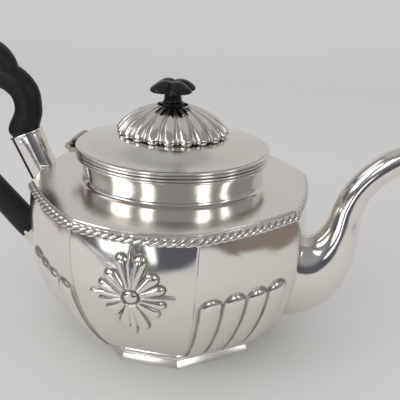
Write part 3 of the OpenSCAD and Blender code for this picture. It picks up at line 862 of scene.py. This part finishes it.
# %% [markdown]
# ## Silver for each kind of piece
# One function makes every silver, so that they stay one metal. The chased pieces
# have the strongest waves, the collar and spout are the brightest, the flat
# plates are a little duller, and the shoulder and foot are brushed. The hinge is
# a darker, browner silver, and the rope and reeds hold the most tarnish and
# painted shade.

# %% Silver
def new_material(name):
    mat = bpy.data.materials.new(name)
    mat.use_nodes = True
    return mat, mat.node_tree, mat.node_tree.nodes["Principled BSDF"]

# the brown of the hollows is partly tarnish and partly painted shade in the creases
tarnish_and_shade_brown, tarnish_dulls = (0.20, 0.155, 0.11), 0.35
wave_height, scratch_height, scratch = 0.003, 0.0002, 0.05

def silver(name, wave, wave_scale=38.0, colour=(0.86, 0.84, 0.81), rough=0.07,
           tarnish_and_shade_amount=0.6, reach=0.03):
    """Metal under a faint yellow film; wave is how strongly its surface rolls."""
    mat, t, bsdf = new_material(name)
    where = place_of(t)
    film = cloud(t, where, 22.0, 5.0)
    tarnish_and_shade_mask = add(t, "ShaderNodeGroup", {"Amount": tarnish_and_shade_amount, "Reach": reach},
               node_tree=tarnish_and_shade).outputs["Mask"]
    yellowed = (colour[0]*0.93, colour[1]*0.915, colour[2]*0.87)
    clean = blend(t, film, colour, yellowed)
    polish = remap(t, film, end=(rough*0.6, rough*1.5))
    rolling = add(t, "ShaderNodeBump", {"Height": cloud(t, where, wave_scale, 1.0),
                                        "Strength": wave, "Distance": wave_height})
    hair = add(t, "ShaderNodeGroup", node_tree=scratches)
    scratched = add(t, "ShaderNodeBump", {"Height": hair.outputs["Height"],
                                          "Strength": scratch, "Distance": scratch_height,
                                          "Normal": rolling.outputs["Normal"]})
    # the base colour turns brown in the hollows: partly tarnish, partly painted shade
    feed(t, bsdf, {"Metallic": 1.0,
                   "Base Color": blend(t, tarnish_and_shade_mask, clean, tarnish_and_shade_brown),
                   "Roughness": maths(t, "MULTIPLY_ADD", tarnish_and_shade_mask, tarnish_dulls, polish),
                   "Normal": scratched.outputs["Normal"]})
    return mat

def clothe(material, *objs):
    for o in objs:
        o.data.materials.clear()
        o.data.materials.append(material)
    print(material.name, "on", [o.name for o in objs])

chased = silver("chased_silver", wave=0.8, wave_scale=26.0, rough=0.12)
plain = silver("polished_silver", wave=0.2, tarnish_and_shade_amount=0.7)
flat = silver("flat_silver", wave=0.10, wave_scale=24.0, tarnish_and_shade_amount=0.5, rough=0.15)
brushed = silver("shoulder_silver", wave=0.10, wave_scale=24.0, tarnish_and_shade_amount=0.0, rough=0.19)
# the hinge is given a darker, browner silver colour
darker_hinge_silver = silver("hinge_silver", colour=(0.42, 0.37, 0.31), wave=0.1, tarnish_and_shade_amount=1.0, rough=0.22)
# the rope's gaps get the most brown: tarnish and painted shade
wire = silver("rope_silver", wave=0.1, tarnish_and_shade_amount=1.6, rough=0.12, reach=0.06)
clothe(chased, *broad, *diagonals, dome)
clothe(plain, *ends, *sockets, spout, collar)
clothe(flat, lid_plate)
clothe(brushed, shoulder, foot, bottom)
clothe(wire, rope, collar_rim, lid_rim, flange)

# %% [markdown]
# ## Blackened wood
# Ebonised wood is nearly black, with a slow sheen from handling and a fine grain
# that runs along it. A plain black would look like plastic, so noise varies both
# the colour and the gloss. The finial is the same wood, polished harder.

# %% Blackened wood
def blackwood(name, rough, grain):
    mat, t, bsdf = new_material(name)
    where = place_of(t)
    drawn = add(t, "ShaderNodeMapping", {"Vector": where, "Scale": (1, 3, 1)})
    pores = cloud(t, drawn.outputs["Vector"], 260.0, 6.0, Distortion=0.6)
    wear = cloud(t, where, 35.0, 3.0)
    grained = add(t, "ShaderNodeBump", {"Height": pores, "Strength": grain, "Distance": 0.0003})
    feed(t, bsdf, {"Specular IOR Level": 0.3,
                   "Base Color": blend(t, wear, (0.003, 0.003, 0.004), (0.014, 0.013, 0.013)),
                   "Roughness": remap(t, wear, end=(rough*0.8, rough*1.3)),
                   "Normal": grained.outputs["Normal"]})
    return mat

clothe(blackwood("ebonised_handle", 0.40, 0.12), handle, thumb)
clothe(blackwood("ebonised_finial", 0.13, 0.03), finial)

# %% [markdown]
# ## The solid model's own pieces
# The hinge, the pins and the finial's stud, washer and nut are small and exact
# already, so they come straight from the solid model and only need a finish.

# %% Materials of the carried-over solids
for node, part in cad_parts.items():
    if node.startswith("hinge_"):
        clothe(darker_hinge_silver, part)
    elif not part.hide_render:
        clothe(plain, part)

# %% [markdown]
# ## The floor
# The pot stands on a pale table, and a backdrop closes the view. A plane would
# show its far edge as a hard line, so it is a sweep, as a studio has: flat under
# the pot, then curving up behind it. It stops short in front, so that the lower
# body mirrors the darker room there.

# %% Floor
def make_floor():
    """A sweep that widens towards the back; sizes in metres."""
    front, back, bend, near, wide, high = -0.27, 0.75, 0.30, 0.30, 1.2, 1.4
    run = (back - front, bend*pi/2, high - bend)

    def place(u, v):
        d = v*sum(run)
        x = (u - 0.5)*2*(near + (wide - near)*clamp((front + d - 0.2)/0.4))
        if d < run[0]:
            return Vector((x, front + d, 0))
        if d < run[0] + run[1]:
            a = (d - run[0])/bend
            return Vector((x, back + bend*sin(a), bend*(1 - cos(a))))
        return Vector((x, back + bend, bend + d - run[0] - run[1]))

    return report(formed("floor", 4, 90, place))

floor = make_floor()
pale, tree, bsdf = new_material("pale_floor")
feed(tree, bsdf, {"Base Color": (0.76, 0.755, 0.745), "Roughness": 0.8, "Specular IOR Level": 0.2})
clothe(pale, floor)

# %% [markdown]
# ## The lamps
# Polished metal shows the lamps themselves, so they are big soft boxes, shaped
# and placed as windows are: each bowed panel and the collar carry their upright,
# soft-edged patches of light. Two low, cool ones pick out the lower body, and a
# wide, gentle one overhead lights the lid and the shoulder.

# %% Lamps
def soft_box(name, at, aim_z, size, power, colour=(1, 1, 1)):
    """A lamp aimed at the pot's axis at the height aim_z; size in metres, power in watts."""
    light = bpy.data.lights.new(name, "AREA")
    light.shape = "RECTANGLE"
    light.size, light.size_y = size
    light.energy = power
    light.color = colour
    obj = bpy.data.objects.new(name, light)
    bpy.context.scene.collection.objects.link(obj)
    obj.location = at
    obj.rotation_euler = (Vector((0, 0, aim_z)) - Vector(at)).to_track_quat("-Z", "Y").to_euler()
    return obj

cool = (0.90, 0.95, 1.0)
lamps = [soft_box("window_left", (-0.88, -0.71, 0.62), 0.08, (0.44, 0.60), 2.6),
         soft_box("window_middle", (-0.36, -1.07, 0.60), 0.08, (0.24, 0.50), 1.3),
         soft_box("window_right", (0.80, -0.80, 0.52), 0.08, (0.24, 0.50), 1.2),
         soft_box("window_far", (1.10, -0.30, 0.50), 0.08, (0.12, 0.50), 0.6),
         soft_box("window_side", (-1.05, -0.12, 0.95), 0.05, (0.50, 0.50), 0.7),
         soft_box("low_window", (-0.42, -0.85, -0.06), 0.09, (0.36, 0.22), 0.45, cool),
         soft_box("low_window_narrow", (-0.04, -0.93, -0.05), 0.09, (0.13, 0.20), 0.14, cool),
         soft_box("overhead", (0.0, 0.20, 2.00), 0.05, (3.0, 2.2), 4.2)]
print("lamps: %d, %.1f W" % (len(lamps), sum(lamp.data.energy for lamp in lamps)))

# %% [markdown]
# ## The room
# The world is seen in three ways. It lights the pot evenly, the camera sees a
# plain grey, and the metal mirrors a room: warm and dim below, brightest at the
# horizon, softer above, and dark low down behind the camera. An environment image
# would give the metal more to mirror and less control, so a few tones are mixed.

# %% Room
world = bpy.data.worlds.new("studio")
bpy.context.scene.world = world
world.use_nodes = True
wt = world.node_tree
axes = add(wt, "ShaderNodeSeparateXYZ", {0: add(wt, "ShaderNodeTexCoord").outputs["Generated"]})
away, upward = axes.outputs["Y"], axes.outputs["Z"]
rays = add(wt, "ShaderNodeLightPath").outputs
low, horizon, high = (0.24, 0.19, 0.155), (0.33, 0.335, 0.35), (0.26, 0.26, 0.265)
dark = (0.095, 0.102, 0.118)
soft = dict(interpolation_type="SMOOTHSTEP")

def background(colour):
    return add(wt, "ShaderNodeBackground", {"Color": colour}).outputs[0]

def either(which, a, b):
    """Shader a, or b for the rays that which picks out."""
    return add(wt, "ShaderNodeMixShader", {0: rays[which], 1: a, 2: b}).outputs[0]

tone = blend(wt, remap(wt, upward, (-0.35, 0.15), **soft), low, horizon)
tone = blend(wt, remap(wt, upward, (0.15, 0.9)), tone, high)
behind = maths(wt, "MULTIPLY", remap(wt, away, (0.0, -0.8), **soft),
               remap(wt, upward, (0.22, -0.04), **soft))
lit = either("Is Glossy Ray", background((0.62, 0.62, 0.62)),
             background(blend(wt, behind, tone, dark)))
seen = either("Is Camera Ray", lit, background((0.62, 0.62, 0.61)))
feed(wt, wt.nodes["World Output"], {"Surface": seen})
wt.nodes.remove(wt.nodes["Background"])
bpy.context.scene.view_settings.view_transform = "Standard"
print("room of", len(wt.nodes), "nodes")
